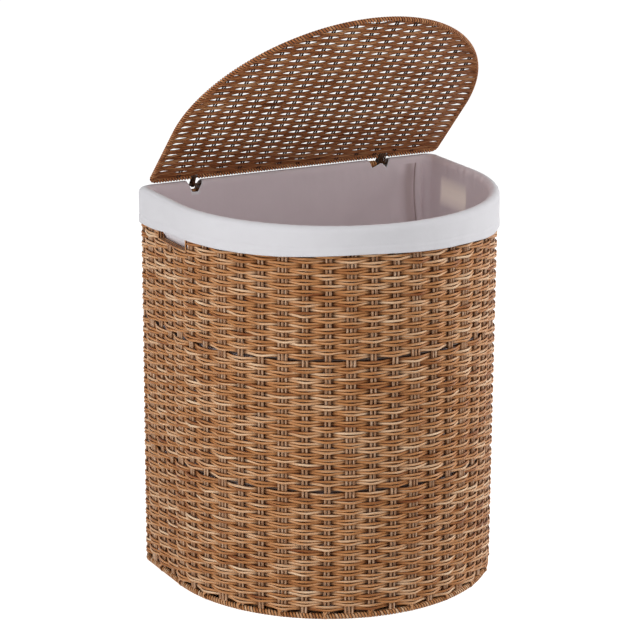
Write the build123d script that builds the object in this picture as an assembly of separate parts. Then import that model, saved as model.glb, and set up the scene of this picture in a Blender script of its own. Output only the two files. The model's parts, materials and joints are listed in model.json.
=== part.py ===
from build123d import *
import math
import os

# Half-moon woven laundry hamper with a hinged lid and a cloth liner.
# Millimetres. Origin: centre of the base on the floor. +Z up, -Y is the bowed front, +Y the flat back.

# ---- driving dimensions: basket plan and height ----
basket_width = 480.0          # outside of the weave, left to right
side_straight = 122.0         # flat part of each side wall, from the back face forwards
back_corner_r = 13.0          # outside corner between back wall and side wall
rim_height = 561.0            # floor to the top of the cloth over the rim

# ---- weave ----
wall_thickness = 11.6         # a strand in front, the stake, a strand behind
column_count = 46             # stake columns round the basket
columns_per_bay = 3           # every third column also holds a steel upright
stake_d = 3.8
stake_spacing = 5.0           # the two stakes of a plain column
upright_d = 4.0
upright_spacing = 10.0        # the two stakes either side of an upright
channel_clearance = 0.15      # round the stakes inside the weave

# ---- steel hoops and their coil binding ----
top_hoop_d = 4.0
base_hoop_d = 5.0
mid_hoop_d = 4.5
lower_hoop_height = 187.0
upper_hoop_height = 374.0
hoop_parting = 6.0            # the rows of the weave part this far for a middle hoop
rim_binding_d = 11.2          # outside of the coil wound on the top hoop
base_binding_d = 8.6          # outside of the coil wound on the base hoop
binding_bore_clearance = 0.05
clear_of_coil = 1.2           # a slot for a loop is this much deeper than the coil it cuts
weld_gap = 0.05
seat_gap = 0.3
base_row_gap = 3.4            # bare stakes between the base binding and the first row

# ---- base ----
base_weave_thickness = 8.0
base_rib_d = 4.0
base_rib_pitch = 78.0
base_rib_count = 5

# ---- hand holes ----
handle_height = 36.0
handle_top_drop = 28.0        # below the rim
handle_edging = 3.0
right_handle_column = 0       # first column of the hole, counted from the right back corner
left_handle_column = 26
handle_columns = 3            # bays that a hole spans
handle_side_gap = 1.0         # between the cut and the stakes at its two ends

# ---- cloth liner ----
cloth = 1.2
cuff_cloth = 1.4              # the hemmed cuff is doubled
cuff_depth = 49.0
cuff_stand_off = 2.2          # air between the weave and the cuff
liner_gap = 0.5               # between the middle hoops and the bag
notch_top_width = 30.0
notch_bottom_width = 10.0
notch_depth = 17.0

# ---- lid ----
lid_narrower = 12.0           # than the basket
lid_straight_shorter = 2.0    # flat part of the lid's sides, less than the basket's
lid_corner_r = 12.0
lid_side_shift = 6.0          # the lid sits this far to the right on its loops
lid_hoop_d = 4.0
lid_binding_d = 7.6
lid_weave_thickness = 6.8
lid_open_angle = 45.8         # from level, in the modelled pose
lid_rest_gap = 2.2            # between the closed lid's binding and the rim cloth
hinge_inset = 13.0            # from the back face of the weave to the lid's pivot wire
lid_stake_pitch = 31.5
lid_stake_d = 2.4
lid_stake_spacing = 3.7
lid_rib_d = 2.4
lid_rib_every = 3             # in one column in three a steel rib takes the place of one stake
lid_opening_rows = 12         # rows of weave that the lines of openings part
lid_opening_height = 7.0      # each opening, towards the front
lid_opening_wall = 3.0        # weave left between an opening and the stakes beside it
lid_opening_edge = 6.0        # weave left between an opening and the bowed front

# ---- hinge loops ----
loop_share = 0.61875          # between the two loops, as a share of the basket's width
loop_width = 14.0
loop_cord = 2.3               # thickness of the wound strand
pivot_clearance = 0.08        # running clearance round the lid's pivot wire
loop_side_gap = 0.6
loop_notch_margin = 1.0       # more room beside the loops in the lid's weave than in its binding

# ---- values that follow ----
front_r = basket_width / 2
basket_depth = side_straight + front_r
back_face = basket_depth / 2
arc_centre_y = back_face - side_straight
wall_mid = wall_thickness / 2
rim_binding_r = rim_binding_d / 2
top_hoop_z = rim_height - cuff_cloth - seat_gap - rim_binding_r
base_hoop_z = base_binding_d / 2
weave_bottom = base_binding_d + base_row_gap
weave_top = top_hoop_z - rim_binding_r - seat_gap
mid_hoop_inset = wall_mid + upright_d / 2 + weld_gap + mid_hoop_d / 2
liner_inset = mid_hoop_inset + mid_hoop_d / 2 + liner_gap
base_weave_inset = wall_mid + base_binding_d / 2 + seat_gap
base_weave_z = base_hoop_z - base_weave_thickness / 2
liner_floor_z = base_hoop_z + max(base_weave_thickness, base_binding_d) / 2 + seat_gap
crest_z = rim_height - cuff_cloth
handle_top_z = rim_height - handle_top_drop
handle_bottom_z = handle_top_z - handle_height
loop_spacing = loop_share * basket_width
lid_width = basket_width - lid_narrower
lid_side_straight = side_straight - lid_straight_shorter
lid_binding_r = lid_binding_d / 2
lid_front_r = lid_width / 2
lid_depth = lid_side_straight + lid_front_r
pivot_y = back_face - hinge_inset
pivot_z = rim_height + lid_rest_gap + lid_binding_r
lid_weave_inset = lid_binding_d + seat_gap
loop_length = math.hypot(hinge_inset - wall_mid, pivot_z - top_hoop_z)
loop_top_r = lid_hoop_d / 2 + pivot_clearance + loop_cord
loop_base_r = top_hoop_d / 2 + binding_bore_clearance + loop_cord


def d_wire(width, straight, back_y, corner_r, inset, z=0.0):
    """Closed half-moon line. It starts past the right back corner and runs forwards round the front."""
    half = width / 2 - inset
    centre_y = back_y - straight
    back = back_y - inset
    corner = max(corner_r - inset, 1.0)
    mid = corner * (1 - math.sqrt(0.5))
    p = [
        Vector(half, back - corner, z),
        Vector(half, centre_y, z),
        Vector(-half, centre_y, z),
        Vector(-half, back - corner, z),
        Vector(-half + corner, back, z),
        Vector(half - corner, back, z),
    ]
    edges = [
        Edge.make_line(p[0], p[1]),
        Edge.make_three_point_arc(p[1], Vector(0, centre_y - half, z), p[2]),
        Edge.make_line(p[2], p[3]),
        Edge.make_three_point_arc(p[3], Vector(-half + mid, back - mid, z), p[4]),
        Edge.make_line(p[4], p[5]),
        Edge.make_three_point_arc(p[5], Vector(half - mid, back - mid, z), p[0]),
    ]
    return Wire(edges)


def wall_wire(inset, z=0.0):
    return d_wire(basket_width, side_straight, back_face, back_corner_r, inset, z)


def lid_wire(inset, z=0.0):
    return d_wire(lid_width, lid_side_straight, lid_binding_r, lid_corner_r, inset, z)


def plate(outline, thickness):
    return extrude(make_face(outline.edges()), amount=thickness, dir=(0, 0, 1))


def wall_band(outer_inset, inner_inset, z, height):
    return plate(wall_wire(outer_inset, z), height) - plate(wall_wire(inner_inset, z), height)


def round_wire(path, diameter):
    """A round wire bent along a closed line."""
    start = Plane(origin=path @ 0, z_dir=path % 0)
    return sweep(start * Circle(diameter / 2), path=path)


def rod(start, end, diameter):
    """A straight round wire between two points."""
    axis = Vector(*end) - Vector(*start)
    return extrude(Plane(origin=start, z_dir=axis) * Circle(diameter / 2), amount=axis.length)


def merge(pieces):
    return Compound(children=[s for piece in pieces for s in piece.solids()])


# ---- stake columns round the wall ----
centre_line = wall_wire(wall_mid)
column_pitch = centre_line.length / column_count
left_corner_column = round(
    (centre_line.length - (basket_width - 2 * back_corner_r)) / column_pitch
)
upright_columns = sorted(
    set(range(0, column_count - columns_per_bay, columns_per_bay)) | {left_corner_column}
)


def column_frame(index):
    """Plane on the wall's centre line at a column: x along the wall, y across it, z up."""
    along = (index * column_pitch / centre_line.length) % 1.0
    return Plane(origin=centre_line @ along, x_dir=centre_line % along, z_dir=(0, 0, 1))


def column_spacing(index):
    return upright_spacing if index in upright_columns else stake_spacing


def column_slot(index):
    """Outline of the channel that the weave leaves round one column."""
    thick = (upright_d if index in upright_columns else stake_d) + 2 * channel_clearance
    long = column_spacing(index) + stake_d + 2 * channel_clearance
    return column_frame(index) * Rectangle(long, thick)


def handle_cut(first_column, edge=0.0):
    """The block that a hand hole takes out of the wall, grown or shrunk by edge all round."""
    middle = column_frame(first_column + handle_columns / 2)
    width = handle_columns * column_pitch - column_spacing(first_column) - stake_d - 2 * handle_side_gap
    height = handle_height + 2 * edge
    block = Box(width + 2 * edge, wall_thickness * 2.4, height)
    return middle * Pos(0, 0, handle_bottom_z + handle_height / 2) * block


handle_blocks = [handle_cut(right_handle_column), handle_cut(left_handle_column)]

# ---- steel frame of the basket ----
top_hoop = round_wire(wall_wire(wall_mid, top_hoop_z), top_hoop_d)
base_hoop = round_wire(wall_wire(wall_mid, base_hoop_z), base_hoop_d)
lower_hoop = round_wire(wall_wire(mid_hoop_inset, lower_hoop_height), mid_hoop_d)
upper_hoop = round_wire(wall_wire(mid_hoop_inset, upper_hoop_height), mid_hoop_d)

upright_low = base_hoop_z + base_hoop_d / 2 + weld_gap
upright_high = top_hoop_z - top_hoop_d / 2 - weld_gap


def post(index, across, low, high, diameter):
    """A straight upright piece at a column, moved sideways along the wall."""
    foot = column_frame(index) * Pos(across, 0, low)
    return extrude(foot * Circle(diameter / 2), amount=high - low)


def clear_of_handles(piece):
    for block in handle_blocks:
        piece = piece - block
    return piece


uprights = [post(i, 0, upright_low, upright_high, upright_d) for i in upright_columns]
frame_uprights = merge([clear_of_handles(piece) for piece in uprights])

rib_end = base_hoop_d / 2 + weld_gap
rib_x = [(i - (base_rib_count - 1) / 2) * base_rib_pitch for i in range(base_rib_count)]


def base_rib(x, diameter=base_rib_d, short=rib_end):
    """One floor wire between the back of the base hoop and its bowed front, ending short of its middle."""
    bow_r = front_r - wall_mid - short
    front = arc_centre_y - math.sqrt(bow_r**2 - (abs(x) + base_rib_d / 2) ** 2)
    back = back_face - wall_mid - short
    return rod((x, back, base_hoop_z), (x, front, base_hoop_z), diameter)


base_ribs = merge([base_rib(x) for x in rib_x])

# ---- coil bindings on the top and base hoops ----


def binding(z, outside, hoop_d):
    path = wall_wire(wall_mid, z)
    return round_wire(path, outside) - round_wire(path, hoop_d + 2 * binding_bore_clearance)


upright_holes = [
    post(i, 0, base_hoop_z, top_hoop_z, upright_d + 2 * channel_clearance)
    for i in upright_columns
]
rib_holes = [base_rib(x, base_rib_d + 2 * channel_clearance, 0) for x in rib_x]
loop_x = [-loop_spacing / 2, loop_spacing / 2]

base_binding = binding(base_hoop_z, base_binding_d, base_hoop_d)
for hole in upright_holes + rib_holes:
    base_binding = base_binding - hole

rim_binding = binding(top_hoop_z, rim_binding_d, top_hoop_d)
for hole in upright_holes:
    rim_binding = rim_binding - hole
for x in loop_x:
    slot = Box(loop_width + 2 * loop_side_gap, clear_of_coil * rim_binding_d, clear_of_coil * rim_binding_d)
    rim_binding = rim_binding - Pos(x, back_face - wall_mid, top_hoop_z) * slot

# ---- stakes ----
stake_low = base_binding_d + weld_gap
stake_high = weave_top + seat_gap - weld_gap


def stake_pair(index):
    across = column_spacing(index) / 2
    pair = [post(index, side * across, stake_low, stake_high, stake_d) for side in (-1, 1)]
    return [clear_of_handles(piece) for piece in pair]


def stake_group(columns):
    return merge([piece for index in columns for piece in stake_pair(index)])


side_columns = round(side_straight / column_pitch)
stakes_right = stake_group(range(0, side_columns + 1))
stakes_front = stake_group(range(side_columns + 1, left_corner_column - side_columns))
stakes_left = stake_group(range(left_corner_column - side_columns, left_corner_column + 1))
stakes_back = stake_group(range(left_corner_column + 1, column_count))

# ---- woven walls, parted by the middle hoops ----
slots = Sketch() + [column_slot(index) for index in range(column_count)]


def woven_band(low, high):
    band = wall_band(0, wall_thickness, low, high - low)
    return band - extrude(Pos(0, 0, low) * slots, amount=high - low)


half_parting = hoop_parting / 2
weave_lower = woven_band(weave_bottom, lower_hoop_height - half_parting)
weave_middle = woven_band(lower_hoop_height + half_parting, upper_hoop_height - half_parting)
weave_upper = clear_of_handles(woven_band(upper_hoop_height + half_parting, weave_top))


def handle_frame(first_column):
    """Bound edge that lines a hand hole, as deep as the wall."""
    middle = column_frame(first_column + handle_columns / 2)
    outer = handle_cut(first_column, -seat_gap)
    inner = handle_cut(first_column, -seat_gap - handle_edging)
    depth = Box(basket_width, wall_thickness, rim_height * 2)
    return (outer - inner) & (middle * depth)


handle_edge_right = handle_frame(right_handle_column)
handle_edge_left = handle_frame(left_handle_column)

# ---- woven floor ----
base_weave = plate(wall_wire(base_weave_inset, base_weave_z), base_weave_thickness)
for hole in rib_holes:
    base_weave = base_weave - hole

# ---- cloth liner ----


def hinge_notches(piece):
    """Trapezoid cut-outs of the cloth that let the hinge loops through."""
    for x in loop_x:
        profile = Polyline(
            (x - notch_top_width / 2, rim_height + cloth),
            (x - notch_bottom_width / 2, rim_height - notch_depth),
            (x + notch_bottom_width / 2, rim_height - notch_depth),
            (x + notch_top_width / 2, rim_height + cloth),
            close=True,
        )
        block = extrude(Plane.XZ * make_face(profile), amount=basket_depth, both=True)
        behind = Pos(0, basket_depth / 2 + arc_centre_y, rim_height / 2)
        piece = piece - (block & (behind * Box(basket_width, basket_depth, rim_height * 1.1)))
    return piece


cuff_inset = -cuff_stand_off - cuff_cloth
cuff_bottom_z = rim_height - cuff_depth
liner_floor = plate(wall_wire(liner_inset, liner_floor_z), cloth)
side_low = liner_floor_z + cloth
liner_sides = hinge_notches(
    wall_band(liner_inset, liner_inset + cloth, side_low, crest_z - side_low)
)
cuff_skin = wall_band(cuff_inset, cuff_inset + cuff_cloth, cuff_bottom_z, rim_height - cuff_bottom_z)
cuff_crest = wall_band(cuff_inset, liner_inset + cloth, crest_z, cuff_cloth)
liner_cuff = hinge_notches(cuff_skin + cuff_crest)

# ---- lid, modelled level about its pivot wire and then turned to the modelled pose ----


def place_lid(piece):
    turned = Pos(lid_side_shift, pivot_y, pivot_z) * Rot(-lid_open_angle, 0, 0)
    return merge([turned * solid for solid in piece.solids()])


loop_slot_w = loop_width + 2 * loop_side_gap
loop_in_lid = [x - lid_side_shift for x in loop_x]
notch_reach = loop_top_r + loop_length / 2

lid_hoop = round_wire(lid_wire(lid_binding_r), lid_hoop_d)
lid_bore = lid_hoop_d + 2 * binding_bore_clearance
lid_binding = round_wire(lid_wire(lid_binding_r), lid_binding_d)
lid_binding = lid_binding - round_wire(lid_wire(lid_binding_r), lid_bore)
for x in loop_in_lid:
    coil_slot = Box(loop_slot_w, clear_of_coil * lid_binding_d, clear_of_coil * lid_binding_d)
    lid_binding = lid_binding - Pos(x, 0, 0) * coil_slot

lid_columns = int((lid_width - 2 * lid_weave_inset) / lid_stake_pitch - 0.5)
lid_column_x = [(i - (lid_columns - 1) / 2) * lid_stake_pitch for i in range(lid_columns)]
lid_arc_y = lid_binding_r - lid_side_straight
lid_inner_r = lid_front_r - lid_weave_inset + seat_gap - weld_gap
lid_back_y = lid_binding_r - lid_weave_inset + seat_gap - weld_gap


def has_lid_rib(i):
    return i % lid_rib_every == 0


def lid_bar(x, across, diameter):
    """A straight piece of the lid, from the pivot wire's binding to the bowed front."""
    reach = abs(x + across) + diameter / 2
    front = lid_arc_y - math.sqrt(max(lid_inner_r**2 - reach**2, 0.0))
    start = lid_back_y
    if min(abs(x - loop) for loop in loop_in_lid) < (loop_slot_w + lid_stake_spacing) / 2 + stake_d:
        start = lid_back_y - notch_reach
    return rod((x + across, start, 0), (x + across, front, 0), diameter)


lid_stake_pieces = []
lid_rib_pieces = []
for i, x in enumerate(lid_column_x):
    lid_stake_pieces.append(lid_bar(x, lid_stake_spacing / 2, lid_stake_d))
    if has_lid_rib(i):
        lid_rib_pieces.append(lid_bar(x, -lid_stake_spacing / 2, lid_rib_d))
    else:
        lid_stake_pieces.append(lid_bar(x, -lid_stake_spacing / 2, lid_stake_d))


def lid_channel(x):
    thick = max(lid_rib_d, lid_stake_d) + 2 * channel_clearance
    return Pos(x, 0, 0) * Box(lid_stake_spacing + thick, lid_depth * 3, thick)


lid_weave = Pos(0, 0, -lid_weave_thickness / 2) * plate(lid_wire(lid_weave_inset), lid_weave_thickness)
for x in lid_column_x:
    lid_weave = lid_weave - lid_channel(x)
for x in loop_in_lid:
    cut = Box(loop_slot_w + 2 * loop_notch_margin, 2 * notch_reach, 2 * lid_weave_thickness)
    lid_weave = lid_weave - Pos(x, lid_back_y, 0) * cut


def lid_openings():
    """See-through gaps of the weave, in lines between the stakes, clear of the loops and the bowed front."""
    channel_width = lid_stake_spacing + max(lid_rib_d, lid_stake_d) + 2 * channel_clearance
    width = lid_stake_pitch - channel_width - 2 * lid_opening_wall
    row_pitch = (lid_inner_r + lid_back_y - lid_arc_y) / lid_opening_rows
    cuts = []
    for left, right in zip(lid_column_x, lid_column_x[1:]):
        x = (left + right) / 2
        for row in range(1, lid_opening_rows):
            y = lid_back_y - row * row_pitch
            far_y = min(y - lid_arc_y - lid_opening_height / 2, 0)
            if math.hypot(abs(x) + width / 2, far_y) < lid_inner_r - lid_opening_edge:
                cuts.append(Pos(x, y, 0) * Box(width, lid_opening_height, 2 * lid_weave_thickness))
    return cuts


lid_weave = lid_weave - lid_openings()

# ---- hinge loops: strand wound round the top hoop and the lid's pivot wire ----


def hinge_loop(x):
    """The wound strand as one strap with an eye at each end."""
    hoop_at = (back_face - wall_mid, top_hoop_z)
    lid_at = (pivot_y, pivot_z)
    side = Plane(origin=(x - loop_width / 2, 0, 0), x_dir=(0, 1, 0), z_dir=(1, 0, 0))
    ends = Pos(*hoop_at) * Circle(loop_base_r) + Pos(*lid_at) * Circle(loop_top_r)
    body = make_hull(ends.edges())
    body = body - Pos(*hoop_at) * Circle(top_hoop_d / 2 + binding_bore_clearance)
    body = body - Pos(*lid_at) * Circle(lid_hoop_d / 2 + pivot_clearance)
    return extrude(side * body, amount=loop_width)


parts = {
    "top_hoop": top_hoop,
    "upper_hoop": upper_hoop,
    "lower_hoop": lower_hoop,
    "base_hoop": base_hoop,
    "frame_uprights": frame_uprights,
    "base_ribs": base_ribs,
    "base_weave": base_weave,
    "base_binding": base_binding,
    "rim_binding": rim_binding,
    "stakes_right": stakes_right,
    "stakes_front": stakes_front,
    "stakes_left": stakes_left,
    "stakes_back": stakes_back,
    "weave_lower": weave_lower,
    "weave_middle": weave_middle,
    "weave_upper": weave_upper,
    "handle_edge_right": handle_edge_right,
    "handle_edge_left": handle_edge_left,
    "liner_floor": liner_floor,
    "liner_sides": liner_sides,
    "liner_cuff": liner_cuff,
    "hinge_loop_left": hinge_loop(loop_x[0]),
    "hinge_loop_right": hinge_loop(loop_x[1]),
    "lid_hoop": place_lid(lid_hoop),
    "lid_binding": place_lid(lid_binding),
    "lid_ribs": place_lid(merge(lid_rib_pieces)),
    "lid_stakes": place_lid(merge(lid_stake_pieces)),
    "lid_weave": place_lid(lid_weave),
}

os.makedirs("parts", exist_ok=True)
for name, piece in parts.items():
    export_step(piece, f"parts/{name}.step")
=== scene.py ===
import json
import math

import bpy
import numpy as np
from mathutils import Matrix, Vector


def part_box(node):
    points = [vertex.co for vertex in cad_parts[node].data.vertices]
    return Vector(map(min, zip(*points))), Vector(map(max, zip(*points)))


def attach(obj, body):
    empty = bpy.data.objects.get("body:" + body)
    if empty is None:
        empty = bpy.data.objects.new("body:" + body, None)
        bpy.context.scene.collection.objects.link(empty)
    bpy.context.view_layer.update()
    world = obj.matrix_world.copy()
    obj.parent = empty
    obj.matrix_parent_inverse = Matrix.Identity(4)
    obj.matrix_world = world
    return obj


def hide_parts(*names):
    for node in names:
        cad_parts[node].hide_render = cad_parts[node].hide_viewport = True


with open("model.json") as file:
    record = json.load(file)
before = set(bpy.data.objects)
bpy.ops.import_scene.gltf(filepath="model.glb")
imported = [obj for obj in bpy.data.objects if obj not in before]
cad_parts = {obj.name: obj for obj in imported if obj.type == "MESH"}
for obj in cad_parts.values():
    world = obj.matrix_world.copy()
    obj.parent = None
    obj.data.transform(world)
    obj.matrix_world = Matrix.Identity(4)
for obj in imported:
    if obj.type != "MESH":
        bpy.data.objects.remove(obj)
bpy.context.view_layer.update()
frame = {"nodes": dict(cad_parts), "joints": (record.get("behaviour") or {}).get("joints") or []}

mm = 0.001
scene = bpy.context.scene
cad = frame["nodes"]

# ---------------------------------------------------------------- sizes
wall_low, wall_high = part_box("weave_middle")
half_width = wall_high.x
back_face = wall_high.y
side_straight = (back_face - wall_low.y) - half_width
arc_centre_y = back_face - side_straight
wall_mid = 5.8 * mm                 # from the outside of the weave to the line of the stakes
corner_r = 13 * mm
columns = 46
strand_width = 4.2 * mm
strand_thickness = 3.4 * mm
stake_d = 3.8 * mm
swing = (strand_thickness + stake_d) / 2
steps_per_column = 9                # points of a strand from one stake column to the next

hinge = next(j for j in frame["joints"] if j["name"] == "lid_hinge")
pivot = Vector(hinge["pos_m"])
lid_open = math.radians(45.8)
lid_half = 234 * mm
lid_straight = 120 * mm
lid_corner = 12 * mm
lid_rim_r = 3.8 * mm
lid_column_pitch = 31.5 * mm
lid_course_pitch = 6.75 * mm
base_rib_pitch = 78 * mm
base_course_pitch = 7.45 * mm
path_step = 2.5 * mm                # between the points of a line round a hoop
lid_to_world = Matrix.Translation(pivot) @ Matrix.Rotation(-lid_open, 4, "X")


# ---------------------------------------------------------------- node helper and colours
def add(tree, kind, feeds=None, **settings):
    """Adds one node with its settings. feeds gives an input a number, a node, or (node, output name)."""
    made = tree.nodes.new(kind)
    for name, value in settings.items():
        setattr(made, name, value)
    for where, what in (feeds or {}).items():
        socket = made.inputs[where]
        if isinstance(what, bpy.types.Node):
            what = next(s for s in what.outputs if s.enabled)
        elif isinstance(what, tuple) and what and isinstance(what[0], bpy.types.Node):
            what = what[0].outputs[what[1]]
        if isinstance(what, bpy.types.NodeSocket):
            tree.links.new(what, socket)
        else:
            socket.default_value = what
    return made


def linear(code):
    """An sRGB hex colour as linear red, green, blue and 1."""
    parts = [int(code[i : i + 2], 16) / 255 for i in (1, 3, 5)]
    return tuple(c / 12.92 if c <= 0.04045 else ((c + 0.055) / 1.055) ** 2.4 for c in parts) + (1.0,)


def new_material(name):
    """An empty material and its node tree."""
    made = bpy.data.materials.new(name)
    made.use_nodes = True
    made.node_tree.nodes.clear()
    return made, made.node_tree


# ---------------------------------------------------------------- materials
def wicker(name, dark, middle, light, shade_colour, roughness):
    """Extruded polyethylene wicker strand: satin, with fine streaks along it and a tone that drifts from
    strand to strand. Painted shade darkens it towards its two edges, where it beds against its neighbours,
    and where it dives behind a stake.
    It reads two attributes. lay is x metres along the strand, y its number, z 1 in the open and less where
    shade is painted in a recess. round is the direction round its section, where x faces out of the weave and
    y lies in it."""
    material, tree = new_material(name)
    lay = add(tree, "ShaderNodeAttribute", attribute_name="lay")
    round_it = add(tree, "ShaderNodeAttribute", attribute_name="round")
    split = add(tree, "ShaderNodeSeparateXYZ", {0: (lay, "Vector")})
    # streaks: 1 mm wide across the strand and about 30 mm long
    across = add(tree, "ShaderNodeVectorMath", {0: (round_it, "Vector"), "Scale": 1.7}, operation="SCALE")
    along = add(tree, "ShaderNodeMath", {0: (split, "X"), 1: 34.0}, operation="MULTIPLY")
    number = add(tree, "ShaderNodeMath", {0: (split, "Y"), 1: 7.31}, operation="MULTIPLY")
    forward = add(tree, "ShaderNodeMath", {0: along, 1: number}, operation="ADD")
    lengthwise = add(tree, "ShaderNodeCombineXYZ", {"Z": forward})
    place = add(tree, "ShaderNodeVectorMath", {0: across, 1: lengthwise}, operation="ADD")
    streak = add(tree, "ShaderNodeTexNoise",
        {"Vector": place, "Scale": 1.0, "Detail": 3.0, "Roughness": 0.6})
    # tone: changes over about 80 mm of a strand and from one strand to the next
    slow = add(tree, "ShaderNodeMath", {0: (split, "X"), 1: 12.0}, operation="MULTIPLY")
    jump = add(tree, "ShaderNodeMath", {0: (split, "Y"), 1: 3.7}, operation="MULTIPLY")
    spot = add(tree, "ShaderNodeCombineXYZ", {"X": slow, "Y": jump})
    tone = add(tree, "ShaderNodeTexNoise", {"Vector": spot, "Scale": 1.0, "Detail": 1.0})
    # streaks and tone together choose between the dark, the middle and the light colour
    both = add(tree, "ShaderNodeMath", {0: (streak, "Fac"), 1: (tone, "Fac")}, operation="ADD")
    mean = add(tree, "ShaderNodeMath", {0: both, 1: 0.5}, operation="MULTIPLY")
    ramp = add(tree, "ShaderNodeValToRGB", {0: mean})
    stops = ramp.color_ramp.elements
    stops[0].position, stops[0].color = 0.34, linear(dark)
    stops[1].position, stops[1].color = 0.66, linear(light)
    centre = stops.new(0.5)
    centre.color = linear(middle)
    # painted shade: the shade colour takes over towards the strand's two edges and in a recess
    facing = add(tree, "ShaderNodeSeparateXYZ", {0: (round_it, "Vector")})
    open_face = add(tree, "ShaderNodeMath", {0: (facing, "X")}, operation="ABSOLUTE")
    edge_shade_mask = add(tree, "ShaderNodeMapRange",
        {"Value": open_face, "From Min": 0.22, "From Max": 0.86, "To Min": 0.10, "To Max": 1.0},
        interpolation_type="SMOOTHSTEP")
    kept = add(tree, "ShaderNodeMath", {0: (edge_shade_mask, "Result"), 1: (split, "Z")}, operation="MULTIPLY")
    colour = add(tree, "ShaderNodeMix", {0: kept, 6: linear(shade_colour), 7: (ramp, "Color")}, data_type="RGBA")
    bump = add(tree, "ShaderNodeBump", {"Strength": 0.3, "Distance": 0.2 * mm, "Height": (streak, "Fac")})
    rough = add(tree, "ShaderNodeMapRange",
        {"Value": (streak, "Fac"), "To Min": roughness - 0.06, "To Max": roughness + 0.10})
    shader = add(tree, "ShaderNodeBsdfPrincipled",
        {"Base Color": (colour, 2), "Roughness": (rough, "Result"), "Normal": bump, "IOR": 1.51,
        "Specular IOR Level": 0.18})
    add(tree, "ShaderNodeOutputMaterial", {"Surface": shader})
    return material


def wicker_rod(name, dark, middle, light, turn):
    """The same strand drawn straight as a stake, with streaks 1.1 mm wide and 25 mm long.
    turn sets the streaks along the stakes of one panel."""
    material, tree = new_material(name)
    place = add(tree, "ShaderNodeTexCoord")
    turned = add(tree, "ShaderNodeMapping", {"Vector": (place, "Object"), "Rotation": turn})
    stretched = add(tree, "ShaderNodeVectorMath", {0: turned, 1: (900.0, 900.0, 40.0)},
        operation="MULTIPLY")
    streak = add(tree, "ShaderNodeTexNoise", {"Vector": stretched, "Scale": 1.0, "Detail": 2.0})
    ramp = add(tree, "ShaderNodeValToRGB", {0: (streak, "Fac")})
    stops = ramp.color_ramp.elements
    stops[0].position, stops[0].color = 0.3, linear(dark)
    stops[1].position, stops[1].color = 0.7, linear(light)
    centre = stops.new(0.5)
    centre.color = linear(middle)
    bump = add(tree, "ShaderNodeBump", {"Strength": 0.3, "Distance": 0.2 * mm, "Height": (streak, "Fac")})
    shader = add(tree, "ShaderNodeBsdfPrincipled",
        {"Base Color": (ramp, "Color"), "Roughness": 0.45, "Normal": bump, "IOR": 1.51,
        "Specular IOR Level": 0.28})
    add(tree, "ShaderNodeOutputMaterial", {"Surface": shader})
    return material


def painted_steel():
    """Steel wire dipped in brown paint: smooth, with a faint orange peel of about 2 mm."""
    material, tree = new_material("painted_steel_wire")
    place = add(tree, "ShaderNodeTexCoord")
    peel = add(tree, "ShaderNodeTexNoise", {"Vector": (place, "Object"), "Scale": 500.0, "Detail": 1.0})
    shade = add(tree, "ShaderNodeMix", {0: (peel, "Fac"), 6: linear("#3A2416"), 7: linear("#543824")},
        data_type="RGBA")
    bump = add(tree, "ShaderNodeBump", {"Strength": 0.15, "Distance": 0.1 * mm, "Height": (peel, "Fac")})
    shader = add(tree, "ShaderNodeBsdfPrincipled",
        {"Base Color": (shade, 2), "Roughness": 0.4, "Normal": bump, "IOR": 1.5})
    add(tree, "ShaderNodeOutputMaterial", {"Surface": shader})
    return material


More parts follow.
